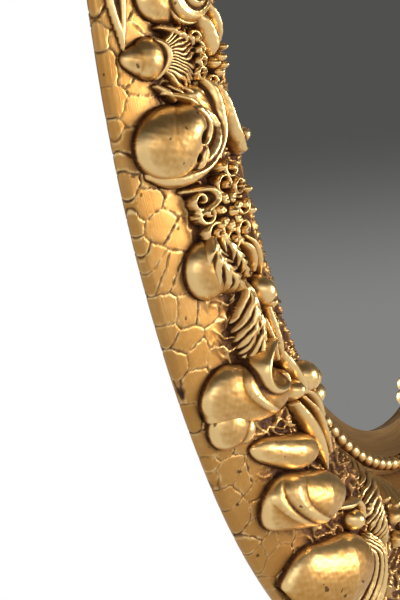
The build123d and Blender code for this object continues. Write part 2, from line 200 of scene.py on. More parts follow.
pale, tree, surface = finish("pale_floor")
grain = add_node(tree, "ShaderNodeTexNoise", {}, {"Scale": 3.0}, "Fac")
shade = grain.between((0.84, 0.84, 0.83), (0.88, 0.88, 0.87))
matt = add_node(tree, "ShaderNodeBsdfPrincipled", {}, {"Base Color": shade, "Roughness": 0.8})
glow_in_metal = 0.72
white_share = 0.7
glow = add_node(tree, "ShaderNodeEmission", {}, {"Color": (1.0, 0.98, 0.95), "Strength": glow_in_metal})
white = add_node(tree, "ShaderNodeEmission", {}, {"Color": (1.0, 1.0, 1.0), "Strength": 1.0})
glancing = add_node(tree, "ShaderNodeLightPath", {}, {}, "Is Glossy Ray")
watched = add_node(tree, "ShaderNodeLightPath", {}, {}, "Is Camera Ray")
reflected = add_node(tree, "ShaderNodeMixShader", {}, {0: glancing, 1: matt, 2: glow})
lay(tree, surface, {0: watched * white_share, 1: reflected, 2: white}, "ShaderNodeMixShader")
floor.data.materials.append(pale)

# The moulding: a broad wooden ring with a long convex outer side, covered in gesso and gilded, bare at the
# back.
# The gesso has crackled into plates, and brown toning lies in the cracks and on the ground under the
# ornament.
# Small leaf work fills that ground. Sizes are in mm until make_piece turns them into metres.
MM = 0.001
sight_half_width = 156.0
sight_half_height = 200.0
end_radius = 131.0
frame_width = 99.5
crest_out = 46.0
crest_height = 21.0
edge_round = 3.0
back_bevel = radians(20)
inner_round = 20.0
inner_slope = radians(40)
slip_width = 18.5
lip_thickness = 2.0
back_depth = 9.1
rebate_out = 7.0
lip_plane = 14.1
count_out = 75.0

end_centre = sight_half_height - end_radius
side_radius = (end_centre**2 + sight_half_width**2 - end_radius**2) / (2 * (sight_half_width - end_radius))
side_centre = side_radius - sight_half_width
joint_angle = atan2(end_centre, side_centre)
side_length = (side_radius + count_out) * joint_angle
quarter_length = side_length + (end_radius + count_out) * (pi / 2 - joint_angle)
outer_run = frame_width - edge_round - crest_out
side_round = (outer_run**2 + crest_height**2 - edge_round**2) / (2 * (crest_height - edge_round))
slope_start = crest_out - inner_round * sin(inner_slope)
slope_top = crest_height - inner_round * (1 - cos(inner_slope))


def oval(along, out, height):
    """Points in mm. Along is counted round the oval from 9 o'clock by 6 o'clock, 75 mm out from the glass."""
    along, out, height = np.broadcast_arrays(along, out, height)
    lap = np.mod(along, 4 * quarter_length)
    quarter = np.minimum(np.floor(lap / quarter_length), 3)
    part = lap - quarter * quarter_length
    part = np.where(quarter % 2 == 1, quarter_length - part, part)
    at_side = part <= side_length
    angle = np.where(
        at_side,
        part / (side_radius + count_out),
        joint_angle + (part - side_length) / (end_radius + count_out),
    )
    reach = np.where(at_side, side_radius, end_radius) + out
    x = np.where(at_side, side_centre, 0.0) - reach * np.cos(angle)
    z = np.where(at_side, 0.0, -end_centre) - reach * np.sin(angle)
    x = np.where((quarter == 1) | (quarter == 2), -x, x)
    z = np.where(quarter >= 2, -z, z)
    return np.stack([x, -(lip_plane + height), z], -1)


def front(out):
    """Height of the bare moulding this far from the sight edge, and how far its face leans outward."""
    outer = np.arcsin(np.clip((out - crest_out) / side_round, -1, 1))
    inner = np.arcsin(np.clip((crest_out - out) / inner_round, -1, 1))
    height = np.where(
        out >= crest_out,
        crest_height - side_round * (1 - np.cos(outer)),
        crest_height - inner_round * (1 - np.cos(inner)),
    )
    lean = np.where(out >= crest_out, outer, -inner)
    slope = out < slope_start
    height = np.where(slope, slope_top - (slope_start - out) * tan(inner_slope), height)
    return height, np.where(slope, -inner_slope, lean)


def moulding(along, out, lift):
    """Points this far above the face of the bare moulding."""
    height, lean = front(out)
    return oval(along, out + lift * np.sin(lean), height + lift * np.cos(lean))


def sheet_faces(rows, columns):
    """Four-sided faces of a sheet whose rows follow the oval and whose columns run outward."""
    corner = (np.arange(rows - 1)[:, None] * columns + np.arange(columns - 1)).ravel()
    return np.stack([corner, corner + 1, corner + columns + 1, corner + columns], 1)


def make_piece(name, nodes, points, faces, material, marks):
    """Mesh piece on the frame's body, with marks as values at its points for the finish to read."""
    mesh = bpy.data.meshes.new(name)
    mesh.from_pydata((points.reshape(-1, 3) * MM).tolist(), [], faces.tolist())
    for mark, values in marks.items():
        mesh.attributes.new(mark, "FLOAT", "POINT").data.foreach_set("value", values.astype(np.float32).ravel())
    mesh.shade_smooth()
    mesh.materials.append(material)
    piece = bpy.data.objects.new(name, mesh)
    bpy.context.scene.collection.objects.link(piece)
    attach(piece, "frame")
    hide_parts(*nodes)


chance = np.random.default_rng(17)
waves = [(chance.uniform(0.6, 1.4), chance.uniform(0, 2 * pi), chance.uniform(0, 2 * pi)) for _ in range(9)]


def mottle(x, y, size):
    """Smooth uneven values from -1 to 1, in patches of about this many mm."""
    total = np.zeros(np.broadcast(x, y).shape)
    for rate, heading, start in waves:
        total += np.sin(2 * pi * rate * (x * cos(heading) + y * sin(heading)) / (2 * size) + start)
    return total / 4.5


plate_along = 10.4
plate_across = 8.6
crack_half = 0.20
crack_depth = 0.55
plate_crown = 0.08
plate_columns = 8
past_edge = 6.0
crack_wander = 0.35
wander_size = 2.2
plates_round = round(4 * quarter_length / plate_along)
plate_along = 4 * quarter_length / plates_round
seed_along = (np.arange(plates_round)[:, None] + 0.5 * (np.arange(plate_columns) % 2)) * plate_along
seed_along = seed_along + chance.uniform(-0.48, 0.48, seed_along.shape) * plate_along
seed_out = frame_width + past_edge - (np.arange(plate_columns) + 0.5) * plate_across
seed_out = seed_out + chance.uniform(-0.50, 0.50, seed_along.shape) * plate_across
seed_tone = chance.uniform(0, 1, seed_along.shape)


def crackle(along, out):
    """Distance to the nearest crack, its strength, and the tone of the plate that each point lies in."""
    along = along + crack_wander * mottle(along, out, wander_size)
    out = out + crack_wander * mottle(along + 40, out, wander_size)
    row = np.floor(along / plate_along).astype(int)
    column = np.floor((frame_width + past_edge - out) / plate_across)
    column = np.clip(column, 0, plate_columns - 1).astype(int)
    seeds = []
    for row_step in (-2, -1, 0, 1, 2):
        for column_step in (-2, -1, 0, 1, 2):
            rows = row + row_step
            inside = (column + column_step >= 0) & (column + column_step < plate_columns)
            columns = np.clip(column + column_step, 0, plate_columns - 1)
            turns = np.floor_divide(rows, plates_round)
            rows = np.mod(rows, plates_round)
            far_along = seed_along[rows, columns] + turns * 4 * quarter_length - along
            far_out = seed_out[rows, columns] - out
            distance = np.where(inside, far_along**2 + far_out**2, 1e6)
            seeds.append(np.stack([distance, far_along, far_out, seed_tone[rows, columns]]))
    seeds = np.stack(seeds)
    order = np.argsort(seeds[:, 0], axis=0)[:2]
    first, second = (np.take_along_axis(seeds, order[k][None, None], 0)[0] for k in (0, 1))
    apart = np.hypot(second[1] - first[1], second[2] - first[2]) + 1e-6
    edge = (second[0] - first[0]) / (2 * apart)
    share = np.mod((first[3] + second[3]) * 7.31, 1)
    return edge, 0.35 + 0.65 * share, first[3]


leaf_work_height = 2.4


def foliage(along, out):
    """Height of the small tangled leaf work that fills the ground between the larger forms."""
    bend_along = along + 2.2 * mottle(along, out, 7)
    bend_out = out + 2.2 * mottle(along + 60, out + 20, 7)
    total = np.zeros(np.broadcast(along, out).shape)
    for size, share in ((4.6, 1.0), (2.4, 0.45)):
        fold = np.abs(mottle(bend_along + 31 * share, bend_out, size))
        total += share * (1 - np.clip(fold * 2.2, 0, 1)) ** 1.5
    return leaf_work_height * total / 1.2


along_step = 0.46
arris = 0.4
ground_inner = 27.0
ground_outer = 73.0
ground_wander = 5.0
plates_fade_out = 62.0
slope_outs = np.linspace(slip_width, slope_start, 14)[:-1]
crest_turn = np.linspace(-inner_slope, 0, 26)[:-1]
outer_turn = atan2(outer_run, side_round - crest_height)
side_turn = np.linspace(0, outer_turn, 122)[:-1]
edge_turn = np.linspace(outer_turn, pi - back_bevel, 12)
edge_centre = frame_width - edge_round
bevel_end = (edge_centre + edge_round * sin(back_bevel), -edge_round * cos(back_bevel))
back_width = bevel_end[0] - (bevel_end[1] + back_depth) / tan(back_bevel)
section = [(out, *(value.item() for value in front(np.array(out)))) for out in slope_outs]
section += [
    (crest_out + inner_round * sin(turn), crest_height - inner_round * (1 - cos(turn)), turn)
    for turn in crest_turn
]
section += [
    (crest_out + side_round * sin(turn), crest_height - side_round * (1 - cos(turn)), turn)
    for turn in side_turn
]
section += [(edge_centre + edge_round * sin(turn), edge_round * cos(turn), turn) for turn in edge_turn]
dressed = len(section)
section += [
    (back_width, -back_depth, pi),
    (back_width - arris, -back_depth, pi),
    (rebate_out + arris, -back_depth, pi),
    (rebate_out, -back_depth, pi),
    (rebate_out, arris - back_depth, -pi / 2),
    (rebate_out, -lip_thickness - arris, -pi / 2),
    (rebate_out, -lip_thickness, -pi / 2),
    (rebate_out + arris, -lip_thickness, -pi / 2),
    (slip_width - arris, -lip_thickness, -pi / 2),
    (slip_width, -lip_thickness, -pi / 2),
    (section[0][0], section[0][1], section[0][2]),
]
section_out, section_height, section_lean = (np.array(values) for values in zip(*section))


def noise(tree, place, scale, detail):
    """Fractal noise from 0 to 1."""
    return add_node(tree, "ShaderNodeTexNoise", {}, {"Vector": place, "Scale": scale, "Detail": detail}, "Fac")


def bumps(tree, height, strength, distance):
    """Normal of a surface roughened by height."""
    values = {"Strength": strength, "Distance": distance, "Height": height}
    return add_node(tree, "ShaderNodeBump", {}, values, "Normal")


def openness(tree, distance):
    """1 in the open, less where other surfaces stand within this distance in metres."""
    return add_node(tree, "ShaderNodeAmbientOcclusion", {"samples": 6}, {"Distance": distance}, "AO")


def gilding(name, crackled):
    """Gold on gesso: burnished, with a painted highlight, on what stands proud; toned brown in the hollows, with
    painted shade in crevices and near junctions.
    """
    material, tree, surface = finish(name)

    def mark(label):
        return add_node(tree, "ShaderNodeAttribute", {"attribute_name": label}, {}, "Fac")

    place = add_node(tree, "ShaderNodeTexCoord", {}, {}, "Object")
    cloud = noise(tree, place, 34.0, 3.0)
    fleck = noise(tree, place, 420.0, 4.0)
    speck = noise(tree, place, 260.0, 1.0)
    carve = mark("carve")
    # Brown toning in carved hollows and cracks, plus painted shade: the openness term darkens crevices where
    # other surfaces stand within 8 mm.
    toning_and_shade = (carve * -1.7 + (0.94 - openness(tree, 0.008)) * 1.9 + (fleck - 0.5) * 0.6).step(0.0, 0.85)
    # Burnish on what stands proud, partly a painted highlight: the gold's colour is brightened on ridges and
    # tops.
    burnish_and_highlight = (carve * 1.6 + cloud * 0.6 - 0.12 + (fleck - 0.5) * 0.3).step(0.0, 0.9)
    gold = burnish_and_highlight.between((0.53, 0.255, 0.055), (0.97, 0.68, 0.30))
    if crackled:
        lines = {"X": mark("along") * 0.10, "Y": mark("across") * 3.2}
        brush = noise(tree, add_node(tree, "ShaderNodeCombineXYZ", {}, lines), 1.0, 4.0)
        gold = (brush.step(0.30, 0.72) * 0.5).between(gold, (0.44, 0.25, 0.085))
        gold = (mark("tone").step(0.55, 1.0) * 0.55).between(gold, (0.47, 0.235, 0.055))
        ground = mark("ground")
        gold = (ground * 0.45).between(gold, (0.36, 0.15, 0.03))
        toning_and_shade = toning_and_shade.most(mark("crack")).most(ground * (1.0 - cloud).step(0.35, 0.9) * 0.6)
    # Painted shade: a broad red-brown darkening of the gold where other surfaces stand within 24 mm, near
    # junctions and under overhanging forms, broken up by noise.
    overhung = 0.80 - openness(tree, 0.024)
    junction_shade = (overhung * 1.5 + (cloud - 0.5) * 0.9 + (fleck - 0.5) * 0.5).step(0.05, 0.75)
    gold = (junction_shade * 0.72).between(gold, (0.30, 0.115, 0.022))
    brown = fleck.step(0.35, 0.7).between((0.045, 0.011, 0.002), (0.17, 0.062, 0.012))
    base = toning_and_shade.between(gold, brown)
    base = (speck.step(0.735, 0.775) * 0.75).between(base, (0.035, 0.012, 0.004))
    metallic = 0.94 - toning_and_shade * 0.55
    roughness = 0.40 - burnish_and_highlight * 0.09 + toning_and_shade * 0.25 + (fleck - 0.5) * 0.14
    height = fleck * 0.35 + cloud * 0.2
    if crackled:
        bare = mark("bare")
        wood = brush.step(0.25, 0.75).between((0.27, 0.165, 0.085), (0.45, 0.30, 0.17))
        base = bare.between(base, wood)
        metallic = metallic * (1.0 - bare)
        roughness = roughness + bare * 0.22
        height = height + brush * 0.5
    normal = bumps(tree, height, 0.35, 0.0004)
    lay(tree, surface, {"Base Color": base, "Metallic": metallic, "Roughness": roughness, "Normal": normal})
    return material


crackled_gilding = gilding("crackled_gilding", True)
dressed_column = np.arange(len(section)) < dressed
for number in range(4):
    steps = round(quarter_length / along_step)
    along = (number + np.arange(steps + 1) / steps) * quarter_length
    A, O = np.meshgrid(along, section_out, indexing="ij")
    lean = np.broadcast_to(section_lean, A.shape)
    edge, strength, tone = crackle(A, O)
    plated = np.clip((O - plates_fade_out) / 16, 0.25, 1) * dressed_column
    half = crack_half * (0.5 + 0.9 * strength) * (1 + 0.5 * mottle(A, O, 1.2))
    groove = np.exp(-((edge / half) ** 2)) * strength
    crown = plate_crown * (1 - np.exp(-edge / 1.0))
    curled = 0.4 + 0.6 * mottle(A + 9, O, 1.3)
    rim = 0.16 * np.exp(-(((edge - 2.0 * half) / 0.35) ** 2)) * curled * strength
    cover = 1 - np.clip((O - ground_outer - ground_wander * mottle(A, O, 9)) / 9, 0, 1)
    cover = cover * np.clip((O - ground_inner) / 6, 0, 1)
    tangle = foliage(A, O)
    inside_edge = np.clip((frame_width - O) / 3, 0, 1)
    plates = ((crown + rim) * inside_edge - crack_depth * groove) * plated
    lift = plates * (1 - cover) + tangle * cover * dressed_column
    shape = section_height + lift * np.cos(lean)
    points = oval(A, O + lift * np.sin(lean), shape)
    make_piece(
        f"gilt_moulding_{number + 1}",
        ["frame_ring"],
        points,
        sheet_faces(*A.shape),
        crackled_gilding,
        {
            # carve brightens crack rims and leaf-work tops (burnish with a painted highlight) and darkens
            # leaf-work hollows (brown toning).
            "crack": np.clip(groove * 1.3 * plated, 0, 1) * (1 - cover),
            "carve": rim * 4 * plated * (1 - cover) + (tangle - 1.2) * 0.8 * cover,
            "tone": tone,
            "ground": cover * dressed_column,
            "bare": np.broadcast_to(~dressed_column, A.shape),
            "along": A,
            "across": O,
        },
    )

# The sight slip: a turned wooden cove round the glass, smooth and toned darker than the rest,
# with fine lathe lines along it. It carries the strings of beads on its flat.
cove_width = 10.0
cove_rise = 4.0
cove_radius = (cove_width**2 + cove_rise**2) / (2 * cove_rise)
cove_outs = np.linspace(0, cove_width, 34)
cove = [(out, cove_radius - sqrt(cove_radius**2 - out**2)) for out in cove_outs]
cove += [(slip_width + 1.0, cove_rise), (slip_width + 1.0, -lip_thickness), (0, -lip_thickness), (0, 0)]
cove_out, cove_height = (np.array(values) for values in zip(*cove))

cove_finish, tree, surface = finish("toned_cove")
across = add_node(tree, "ShaderNodeAttribute", {"attribute_name": "across"}, {}, "Fac")
along_mark = add_node(tree, "ShaderNodeAttribute", {"attribute_name": "along"}, {}, "Fac")
lines = add_node(tree, "ShaderNodeCombineXYZ", {}, {"X": along_mark * 0.02, "Y": across * 1.6})
turned = noise(tree, lines, 1.0, 5.0)
lay(tree, surface, {
    "Base Color": turned.step(0.3, 0.7).between((0.30, 0.165, 0.055), (0.42, 0.25, 0.095)),
    "Metallic": 0.75,
    "Roughness": 0.34 + turned * 0.12,
    "Normal": bumps(tree, turned, 0.25, 0.0003),
})
cove_steps = 1200
cove_along = np.linspace(0, 4 * quarter_length, cove_steps + 1)
A, O = np.meshgrid(cove_along, cove_out, indexing="ij")
make_piece(
    "sight_cove",
    ["sight_slip"],
    oval(A, O, np.broadcast_to(cove_height, A.shape)),
    sheet_faces(*A.shape),
    cove_finish,
    {"along": A, "across": O},
)

# The beading: strings of cast beads, nearly touching, laid on the flat of the slip right round the glass.
# Each bead is a ball a little longer than it is wide, sunk in the slip, burnished on top with a painted
# highlight there, and painted darker towards the slip as shade.
bead_line = 14.2
bead_pitch = 7.75
bead_radii = (3.55, 3.0, 3.1)
bead_centre = 2.1
bead_quarter = (side_radius + bead_line) * joint_angle + (end_radius + bead_line) * (pi / 2 - joint_angle)
beads = 4 * round(bead_quarter / bead_pitch)
ornament_gilding = gilding("ornament_gilding", False)


def ball(rows, columns):
    """Unit ball as points and faces."""
    polar = np.linspace(0, pi, rows)[:, None]
    round_angle = np.linspace(0, 2 * pi, columns, endpoint=False)
    points = np.stack(
        [
            np.sin(polar) * np.cos(round_angle),
            np.sin(polar) * np.sin(round_angle),
            np.broadcast_to(np.cos(polar), (rows, columns)),
        ],
        -1,
    ).reshape(-1, 3)
    row, column = np.meshgrid(np.arange(rows - 1), np.arange(columns), indexing="ij")
    after = (column + 1) % columns
    here, below = row * columns, (row + 1) * columns
    return points, np.stack([here + column, below + column, below + after, here + after], -1).reshape(-1, 4)


def bead_along(length):
    """Place along the oval of a point this far along the line of the beads."""
    side = (side_radius + bead_line) * joint_angle
    quarter, part = divmod(length, bead_quarter)
    part = part if quarter % 2 == 0 else bead_quarter - part
    if part <= side:
        place = part / (side_radius + bead_line) * (side_radius + count_out)
    else:
        place = side_length + (part - side) / (end_radius + bead_line) * (end_radius + count_out)
    return quarter * quarter_length + (place if quarter % 2 == 0 else quarter_length - place)


ball_points, ball_faces = ball(9, 14)
bead_points, bead_faces, bead_rubbed_and_shaded = [], [], []
for number in range(beads):
    here = bead_along((number + 0.5) * bead_quarter * 4 / beads)
    centre = oval(here, bead_line, cove_rise + bead_centre)
    ahead_point = oval(here + 1, bead_line, cove_rise + bead_centre)
    tangent = (ahead_point - centre) / np.linalg.norm(ahead_point - centre)
    forward = np.array([0, -1, 0])
    sideways = np.cross(forward, tangent)
    size = 1 + chance.uniform(-0.05, 0.05)
    spread = np.stack([tangent, sideways, forward]) * (np.array(bead_radii) * size)[:, None]
    bead_faces.append(ball_faces + number * len(ball_points))
    bead_points.append(centre + ball_points @ spread)
    # Painted highlight on the front of each bead and painted shade towards the slip, passed to the gilding as
    # carve.
    bead_rubbed_and_shaded.append(np.clip(ball_points[:, 2] * 0.7 - 0.15, -0.6, 0.6))
make_piece(
    "bead_string",
    ["bead_strips"],
    np.concatenate(bead_points),
    np.concatenate(bead_faces),
    ornament_gilding,
    {"carve": np.concatenate(bead_rubbed_and_shaded)},
)


# The domed volutes: the largest forms at the sides, cast in composition like all the ornament and glued on.
# Each is a smooth dome whose lower side curls inward to a small drilled eye.
cast_step = 0.36
ripple_size = 1.1
hem_sunk = 0.7
hem_kept = 0.35
mirrorings = {
    None: [(1, 1), (-1, 1), (1, -1), (-1, -1)],
    "side": [(1, 1), (-1, 1)],
    "end": [(1, 1), (1, -1)],
}


def soften(height, reach):
    """Height averaged over a square this many points to each side, twice."""
    for _ in range(2):
        for axis in (0, 1):
            padded = np.pad(height, [(reach + 1, reach) if k == axis else (0, 0) for k in (0, 1)], "edge")
            total = np.cumsum(padded, axis)
            width = 2 * reach + 1
            high = np.take(total, np.arange(width, total.shape[axis]), axis)
            low = np.take(total, np.arange(0, total.shape[axis] - width), axis)
            height = (high - low) / width
    return height


def cast(name, node, span, height, step=cast_step, across_axis=None, ripple=0.12):
    """Ornament raised on the moulding by height(along, out) over a span, mirrored into the other quarters.

    A piece that crosses an axis of the oval names that axis and is mirrored only over the other one."""
    A, O = np.meshgrid(np.arange(span[0], span[1], step), np.arange(span[2], span[3], step), indexing="ij")
    raised = height(A, O)
    raised = raised + ripple * mottle(A, O, ripple_size) * (raised > -0.5)
    # carve: ridges get burnish with a painted highlight in the gilding, hollows get brown toning.
    carve = np.clip((raised - soften(np.maximum(raised, 0), 3)) * 1.1, -1, 1)
    points = moulding(A, O, np.maximum(raised, -hem_sunk)).reshape(-1, 3)
    faces = sheet_faces(*A.shape)
    faces = faces[raised.ravel()[faces].max(1) > -hem_kept]
    used, faces = np.unique(faces, return_inverse=True)
    faces = faces.reshape(-1, 4)
    points, carve = points[used], carve.ravel()[used]
    all_points, all_faces = [], []
    for flip_x, flip_z in mirrorings[across_axis]:
        turned_faces = faces if flip_x * flip_z > 0 else faces[:, ::-1]
        all_faces.append(turned_faces + len(points) * len(all_points))
        all_points.append(points * np.array([flip_x, 1, flip_z]))
    make_piece(
        name,
        [node],
        np.concatenate(all_points),
        np.concatenate(all_faces),
        ornament_gilding,
        {"carve": np.tile(carve, len(all_points))},
    )


def smooth_line(stops, steps=7):
    """Points on a smooth curve through the given rows of numbers."""
    rows = np.array(stops, float)
    rows = np.vstack([2 * rows[0] - rows[1], rows, 2 * rows[-1] - rows[-2]])
    line = []
    for p, q, r, s in zip(rows[:-3], rows[1:-2], rows[2:-1], rows[3:]):
        for t in np.arange(steps) / steps:
            bend = (2 * p - 5 * q + 4 * r - s) * t**2 + (3 * q - p - 3 * r + s) * t**3
            line.append(0.5 * (2 * q + (r - p) * t + bend))
    return np.array([*line, rows[-2]])


def nearest(A, O, start, end):
    """The run from start to end, the share of it at which its nearest point lies, and the distance to that."""
    run = end[:2] - start[:2]
    share = np.clip(((A - start[0]) * run[0] + (O - start[1]) * run[1]) / (run @ run + 1e-9), 0, 1)
    return run, share, np.hypot(A - start[0] - share * run[0], O - start[1] - share * run[1])


def roll(A, O, stops):
    """Rounded ridge through stops of (along, out, half width, height)."""
    line = smooth_line(stops)
    best = np.full(A.shape, -1.0)
    for start, end in zip(line[:-1], line[1:]):
        _, share, distance = nearest(A, O, start, end)
        half = start[2] + share * (end[2] - start[2])
        top = start[3] + share * (end[3] - start[3])
        rounded = np.clip(1 - (distance / half) ** 2, 0, 1) ** 0.5
        best = np.maximum(best, np.where(distance < half, top * rounded, -1.0))
    return best


def boss(A, O, centre, radii, top, turn=0.0, crown=0.5):
    """Oval mound."""
    c, s = cos(radians(turn)), sin(radians(turn))
    x = ((A - centre[0]) * c + (O - centre[1]) * s) / radii[0]
    y = ((O - centre[1]) * c - (A - centre[0]) * s) / radii[1]
    rest = 1 - x**2 - y**2
    return np.where(rest > 0, top * np.clip(rest, 0, 1) ** crown, -1.0)


def pit(A, O, centre, radius, depth):
    """How much a drilled eye takes away."""
    return depth * np.exp(-((np.hypot(A - centre[0], O - centre[1]) / radius) ** 2))


def highest(*forms):
    """Upper surface of forms that run into each other."""
    return np.maximum.reduce(forms)


def domed_volute(A, O):
    dome = boss(A, O, (92.5, 83.0), (13.6, 13.2), 12.0, 0, 0.46)
    nose = boss(A, O, (88.5, 77.5), (9.6, 7.6), 12.6, 25, 0.46)
    whole = (dome + nose + np.sqrt((dome - nose) ** 2 + 9)) / 2 - 0.6
    whole = np.where(np.maximum(dome, nose) > 0, whole, -1.0)
    lip = roll(A, O, [(83, 73.5, 3.6, 10.5), (87.5, 71, 3.6, 11), (92, 71, 2.8, 10.4), (95.5, 73.5, 2.0, 9.8),
                      (95, 76.5, 1.4, 9)])
    fold = roll(A, O, [(106, 80, 2.0, 5), (103, 76, 3.2, 8), (99, 73.5, 3.2, 9.2), (96, 73, 1.8, 8.6)])
    eyes = pit(A, O, (92.6, 74.8), 1.7, 6) + pit(A, O, (99.6, 77.0), 1.1, 4)
    return highest(whole, lip, fold) - eyes


cast("volute_domes", "domed_volutes", (77, 111, 63, 98), domed_volute, ripple=0.05)


# The tails of the volutes: cast rims with a fine groove along them, glued round the lower side of each dome.
# They sweep round the eye and up over the crest like the rim of a shell.
def volute_tail(A, O):
    outer = roll(A, O, [(101, 92, 2.2, 3), (104.5, 86, 3.4, 6), (105, 79, 4.2, 8), (102.5, 72, 4.8, 9.5),
                        (97.5, 66, 5.0, 10.4), (91, 62.5, 4.8, 10.2), (84, 61, 4.0, 9.4),
                        (77.5, 61.5, 2.8, 8), (73, 64, 1.4, 5)])
    floor = roll(A, O, [(100, 78, 3, 5.5), (98, 72, 5, 7), (92, 68, 6, 7.5), (85, 67, 6, 7), (79, 69, 5, 6)])
    groove = 1.4 * np.exp(-(((np.hypot(A - 91.5, O - 76) - 11.8) / 0.9) ** 2))
    return highest(outer - groove, floor)


cast("volute_tail_rims", "volute_tails", (71, 111, 55, 96), volute_tail, ripple=0.08)


# Sprays of acanthus: cast leaf blades that lie side by side in the hollow between each dome and its tail,
# with deep grooves between them and a short frill at the outer side.
def acanthus(A, O):
    blades = [
        roll(A, O, [(76.5 + 1.6 * k, 80 - 2.4 * k, 1.0, 4.5 + 0.4 * k),
                    (80 + 1.8 * k, 74 - 1.9 * k, 1.7, 8 + 0.3 * k),
                    (85.5 + 1.5 * k, 69.5 - 1.5 * k, 1.7, 9),
                    (91 + 0.8 * k, 66.5 - 0.7 * k, 1.0, 8.5)])
        for k in range(-1, 4)
    ]
    frill = [
        roll(A, O, [(72 + k, 84 - 5 * k, 1.0, 3), (75 + k, 81 - 5 * k, 1.6, 5),
                    (78.5 + k, 79 - 5 * k, 1.0, 4.5)])
        for k in range(4)
    ]
    return highest(*blades, *frill)


cast("acanthus_leaves", "acanthus_sprays", (69, 98, 56, 88), acanthus)


# Hooked scrolls: cast stems that run along the crest and hook in beside the glass, round a ball.
# They stand high enough for their outline to show against the mirror.
def hook(A, O):
    stem = roll(A, O, [(78, 55, 1.6, 6), (85, 53.5, 2.4, 8), (93, 53, 2.6, 9), (100, 51, 2.8, 9),
                       (106, 46.5, 2.6, 7), (107.5, 42, 2.2, 5.5)])
    return highest(stem, boss(A, O, (100.5, 46.5), (4.4, 3.6), 9.5))


cast("hooked_scrolls", "hook_scrolls", (75, 112, 38, 60), hook)


# The side scrolls: broad rolled ends with stepped rings, cast with a low rounded body behind them.
# They lean over the crest beside the side shells.
def rings(A, O, centre, stops):
    """Turned form seen from above, through stops of (radius, height)."""
    distance = np.hypot(A - centre[0], O - centre[1])
    radii, heights = zip(*stops)
    return np.where(distance < radii[-1], np.interp(distance, radii, heights), -1.0)


def side_scroll(A, O):
    face = rings(A, O, (41, 66), [(0, 4), (1.6, 4.5), (2.6, 9), (4.2, 10.5), (6.0, 9.0), (6.6, 8.0),
                                  (7.2, 9.2),
                                  (9.5, 8.6), (10.6, 6.8), (11.1, 5.4), (11.6, 6.0), (12.4, 3.0), (12.6, 0)])
    return highest(face, boss(A, O, (41, 76), (10.5, 11), 6.5))


cast("side_scroll_ends", "side_scrolls", (26, 56, 52, 90), side_scroll, ripple=0.06)


# Leaf bosses: smooth pointed buds at the outer edge of the ornament, cast hollow-backed and glued on.
# Each has a raised lip on its side towards the glass, over the leaf below.
def leaf_boss(A, O):
    bud = boss(A, O, (62, 85.5), (7.8, 6.6), 7.0)
    point = roll(A, O, [(60.5, 94, 1.2, 0.8), (61, 91, 4.2, 3.6), (62, 87, 6.4, 6.2)])
    lip = roll(A, O, [(55.5, 83, 1.2, 4), (58, 80.8, 1.7, 7), (62, 80.2, 1.9, 7.8), (66, 81.5, 1.7, 6.5),
                      (69, 84, 1.2, 4)])
    return highest(bud, point, lip)


cast("leaf_boss_buds", "leaf_bosses", (52, 76, 74, 96), leaf_boss, ripple=0.06)


# The leaves under the buds: thin castings that open towards the glass, with wavy veins from one root.
# A frill stands at one side, and their hem is curled into little scrolls.
def fan(A, O, root, reach, heading, spread, ribs, top, depth, wave=0.012):
    """Ribs, odd in number, that open out from a root and wander a little, with a scalloped edge."""
    distance = np.hypot(A - root[0], O - root[1])
    angle = np.arctan2(O - root[1], A - root[0]) - radians(heading)
    angle = np.mod(angle + pi, 2 * pi) - pi
    share = angle / radians(spread) + wave * mottle(A, O, 5)
    lobe = np.abs(np.cos(pi * share * ribs))
    edge = reach * (0.86 + 0.14 * lobe) * (1 - 0.7 * share**2)
    inside = np.clip(1 - (distance / edge) ** 3, 0, 1) ** 0.6
    raised = top * inside * (0.45 + 0.55 * np.clip(distance / reach, 0, 1)) - depth * (1 - lobe) ** 1.5
    return np.where((np.abs(share) < 0.5) & (distance < edge), raised, -1.0)


def spiral(A, O, centre, reach, first, turns, half, top):
    """Small scroll whose line winds in to its centre from this angle in degrees."""
    stops = []
    for share in np.linspace(0, 1, 11):
        angle = radians(first) + 2 * pi * turns * share
        radius = reach * (1 - 0.82 * share)
        place = (centre[0] + radius * cos(angle), centre[1] + radius * sin(angle))
        stops.append((*place, half * (1 - 0.45 * share), top * (0.7 + 0.3 * share)))
    return roll(A, O, stops)


def boss_leaf(A, O):
    opened = fan(A, O, (61.5, 87), 25, -82, 84, 13, 8.5, 1.2, 0.06)
    frill = [
        roll(A, O, [(52 + 2 * k, 80 - 4 * k, 1.0, 4), (53.5 + 2 * k, 76 - 4 * k, 1.6, 6.5),
                    (56 + 2 * k, 73 - 3 * k, 1.0, 6)])
        for k in range(3)
    ]
    hem = [
        spiral(A, O, (58 + 4.2 * k, 64 + 0.6 * (k - 1.5) ** 2), 3.0, 90 + 70 * k, 1.1, 1.3, 8)
        for k in range(4)
    ]
    return highest(opened, *frill, *hem)


cast("boss_leaf_veins", "boss_leaves", (46, 82, 56, 87), boss_leaf)


# Rosettes: small castings of seven dimpled petals round a raised heart.
# One is glued to the crest between each volute and the next shell dome.
petals = 7


def rosette(A, O):
    heart = (124.5, 65.5)
    raised = boss(A, O, heart, (2.8, 2.6), 9.5)
    for petal in range(petals):
        angle = radians(360 / petals * petal + 12)
        middle = (heart[0] + 5.6 * cos(angle), heart[1] + 5.0 * sin(angle))
        lobe = boss(A, O, middle, (3.8, 2.3), 8.0, degrees(angle))
        raised = highest(raised, lobe - pit(A, O, middle, 0.9, 1.5))
    return raised


cast("rosette_petals", "rosettes", (112, 137, 54, 77), rosette)


